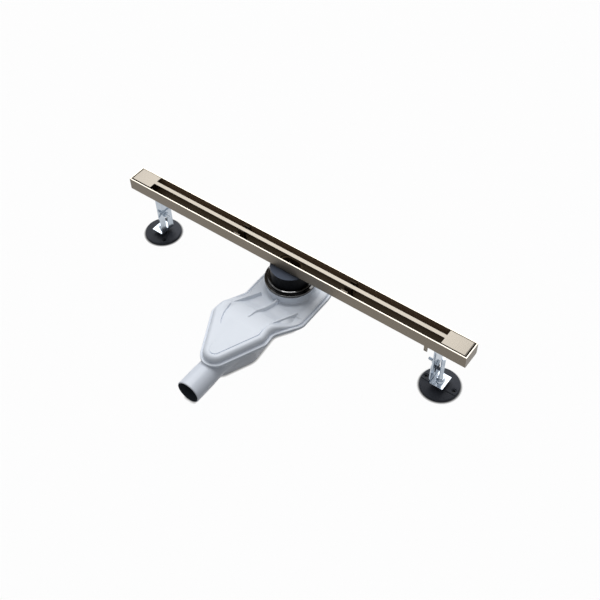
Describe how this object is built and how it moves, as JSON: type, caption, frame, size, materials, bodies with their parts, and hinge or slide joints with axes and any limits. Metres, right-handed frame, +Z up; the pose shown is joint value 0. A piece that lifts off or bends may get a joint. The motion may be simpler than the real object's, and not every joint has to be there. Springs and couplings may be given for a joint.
{
  "type": "shower drain",
  "caption": "Linear shower drain: narrow metal channel with a slotted cover over a turnable plastic siphon, carried on height-adjustable feet.",
  "frame": {"origin": "on the floor under the waste axis, in the siphon's flat underside", "axes": "+X along the channel, -Y towards the outlet at rest, +Z up"},
  "size_m": [0.8, 0.375, 0.147],
  "materials": {
    "brushed_nickel_steel": "brushed stainless steel with a champagne nickel tone",
    "zinc_plate": "bright zinc plated steel",
    "grey_plastic": "moulded light grey polypropylene",
    "black_plastic": "moulded black plastic",
    "black_rubber": "black rubber"
  },
  "bodies": {
    "channel_frame": {"channel": "brushed_nickel_steel", "cover": "brushed_nickel_steel", "cover_support_left": "brushed_nickel_steel", "cover_support_right": "brushed_nickel_steel", "spigot_gasket": "black_rubber", "spigot": "black_plastic", "spigot_screws": "zinc_plate", "dip_tube": "black_plastic", "hanger_left": "zinc_plate", "clamp_bolt_left": "zinc_plate", "clamp_nut_left": "zinc_plate", "hanger_right": "zinc_plate", "clamp_bolt_right": "zinc_plate", "clamp_nut_right": "zinc_plate"},
    "trap": {"trap_upper_shell": "grey_plastic", "trap_lower_shell": "grey_plastic", "lip_seal": "black_rubber"},
    "bracket_left": {"foot_bracket_left": "zinc_plate", "flange_nut_left": "zinc_plate", "jam_nut_left": "zinc_plate"},
    "foot_left": {"foot_pad_left": "black_plastic", "foot_stud_left": "zinc_plate"},
    "bracket_right": {"foot_bracket_right": "zinc_plate", "flange_nut_right": "zinc_plate", "jam_nut_right": "zinc_plate"},
    "foot_right": {"foot_pad_right": "black_plastic", "foot_stud_right": "zinc_plate"}
  },
  "joints": [
    {"name": "trap_swivel", "type": "hinge", "parent": "channel_frame", "child": "trap", "pos_m": [0, 0, 0.08], "axis": [0, 0, 1], "continuous": true},
    {"name": "bracket_left_height", "type": "slide", "parent": "channel_frame", "child": "bracket_left", "axis": [0, 0, 1], "range_m": [0, 0.03]},
    {"name": "foot_left_height", "type": "slide", "parent": "bracket_left", "child": "foot_left", "axis": [0, 0, -1], "range_m": [0, 0.04]},
    {"name": "bracket_right_height", "type": "slide", "parent": "channel_frame", "child": "bracket_right", "axis": [0, 0, 1], "range_m": [0, 0.03]},
    {"name": "foot_right_height", "type": "slide", "parent": "bracket_right", "child": "foot_right", "axis": [0, 0, -1], "range_m": [0, 0.04]}
  ]
}
